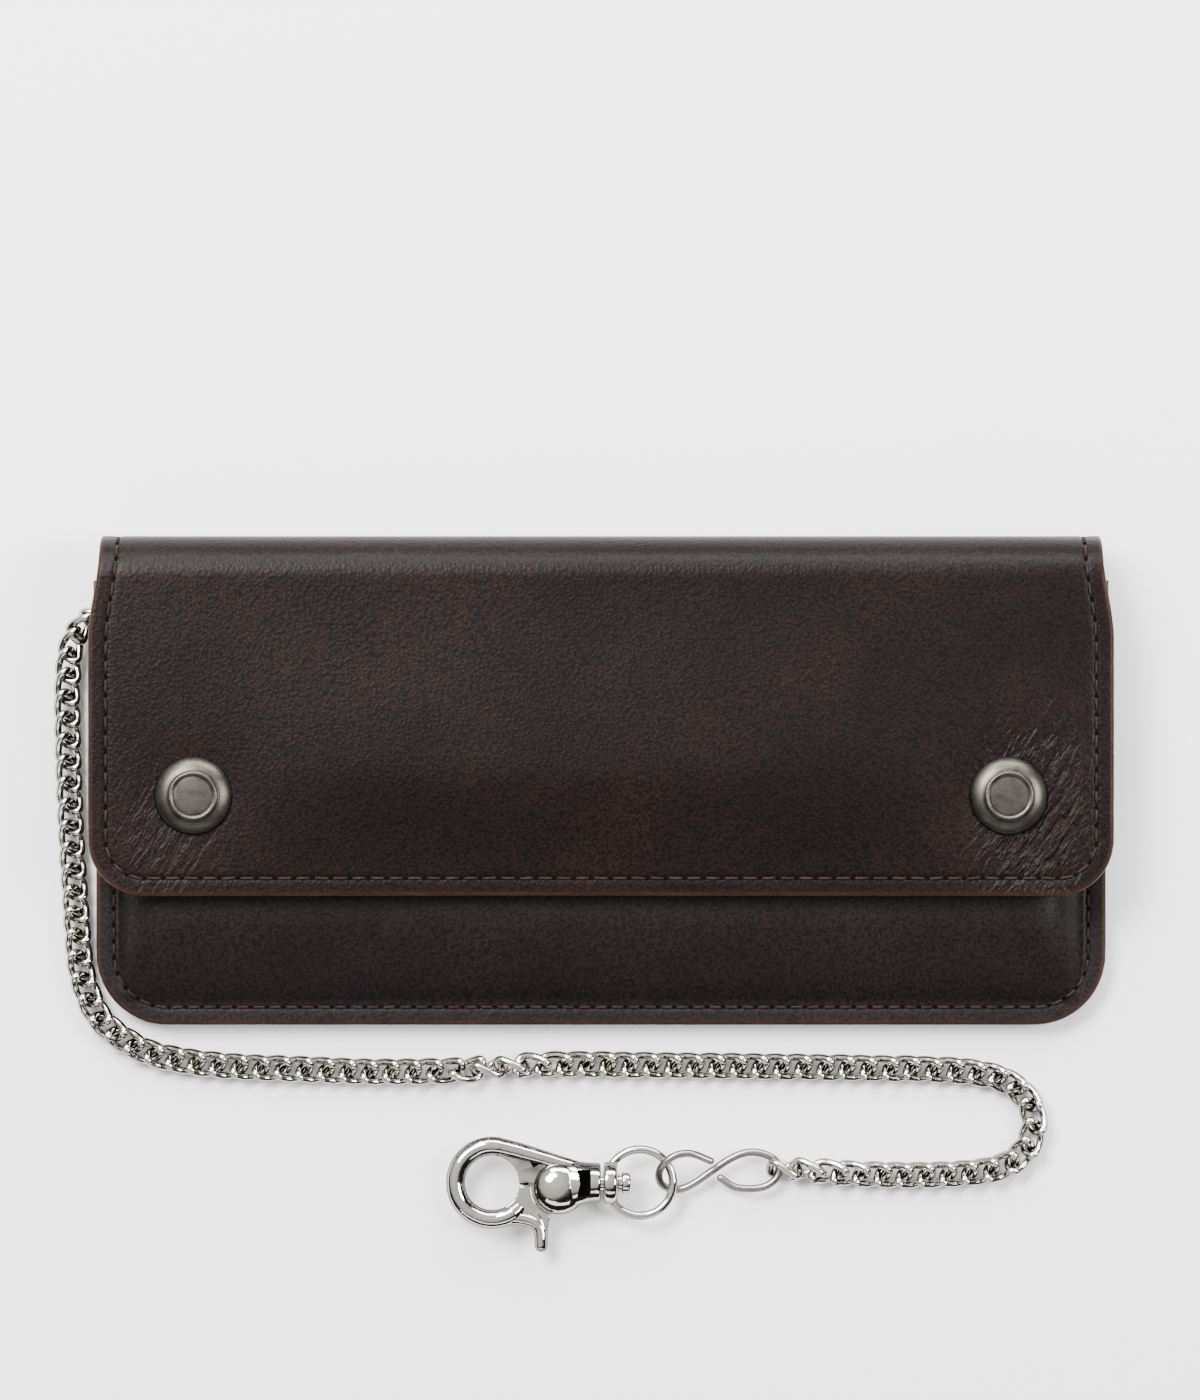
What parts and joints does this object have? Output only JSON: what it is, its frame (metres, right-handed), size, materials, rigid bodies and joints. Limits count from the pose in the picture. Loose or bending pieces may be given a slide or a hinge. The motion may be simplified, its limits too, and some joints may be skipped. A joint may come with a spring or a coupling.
{
  "type": "chain wallet",
  "caption": "Long folded leather wallet with a flap closed by press studs, a note pocket, card pockets, and a chain with a swivelling trigger snap hook.",
  "frame": {"origin": "centre of the closed wallet's outer back face, on the surface that it lies on", "axes": "+X to the right along the fold, +Y towards the fold, +Z out of the front"},
  "size_m": [0.2063, 0.1399, 0.0189],
  "materials": {
    "outer_leather": "semi-gloss, fine pebble grain",
    "pocket_leather": "satin",
    "lining": "matt",
    "thread": "waxed thread",
    "snap_cap": "antique nickel",
    "snap_metal": "nickel",
    "chain_nickel": "polished nickel",
    "s_hook_nickel": "satin nickel",
    "hook_nickel": "bright nickel",
    "spring_steel": "satin"
  },
  "bodies": {
    "wallet": {"back_panel": "outer_leather", "back_lining": "lining", "divider": "lining", "card_pocket_top": "pocket_leather", "card_pocket_middle": "pocket_leather", "card_pocket_bottom": "pocket_leather", "front_panel": "outer_leather", "front_lining": "lining", "body_thread": "thread", "pocket_thread": "thread", "snap_stud_left": "snap_metal", "snap_stud_right": "snap_metal", "snap_eyelet_left": "snap_metal", "snap_eyelet_right": "snap_metal", "ring_tab": "outer_leather", "tab_thread": "thread", "d_ring": "chain_nickel", "chain_first_link": "chain_nickel", "chain": "chain_nickel", "chain_last_link": "chain_nickel"},
    "fold": {"fold_strip": "outer_leather"},
    "flap": {"flap_panel": "outer_leather", "flap_lining": "lining", "flap_thread": "thread", "snap_cap_left": "snap_cap", "snap_cap_right": "snap_cap", "snap_socket_left": "snap_metal", "snap_socket_right": "snap_metal", "snap_spring_left": "snap_metal", "snap_spring_right": "snap_metal"},
    "s_hook": {"s_hook": "s_hook_nickel"},
    "swivel_ring": {"swivel_eye": "hook_nickel"},
    "hook": {"hook_body": "hook_nickel", "swivel_post": "hook_nickel", "gate_pin": "hook_nickel", "gate_spring": "spring_steel"},
    "gate": {"gate": "hook_nickel"}
  },
  "joints": [
    {"name": "fold_lower", "type": "hinge", "parent": "wallet", "child": "fold", "pos_m": [0, 0.04535, 0.0024], "axis": [-1, 0, 0], "range_deg": [0, 90]},
    {"name": "fold_upper", "type": "hinge", "parent": "fold", "child": "flap", "pos_m": [0, 0.04535, 0.0141], "axis": [-1, 0, 0], "range_deg": [0, 90]},
    {"name": "s_hook_swing", "type": "hinge", "parent": "wallet", "child": "s_hook", "pos_m": [0.0333, -0.076, 0.0028], "axis": [0, 0, 1], "range_deg": [-5, 35]},
    {"name": "ring_swing", "type": "hinge", "parent": "s_hook", "child": "swivel_ring", "pos_m": [0.0076, -0.0786, 0.0043], "axis": [0, 0, 1], "range_deg": [-5, 35]},
    {"name": "hook_swivel", "type": "hinge", "parent": "swivel_ring", "child": "hook", "pos_m": [0, -0.0786, 0.0043], "axis": [1, 0, 0], "continuous": true},
    {"name": "gate_pivot", "type": "hinge", "parent": "hook", "child": "gate", "pos_m": [-0.0082, -0.0796, 0.0043], "axis": [0, 0, 1], "range_deg": [0, 22], "stiffness_Nm_per_rad": 0.02, "springref_deg": -5.73}
  ],
  "couplings": [
    {"joint": "fold_upper", "follows": "fold_lower", "ratio": 1}
  ]
}
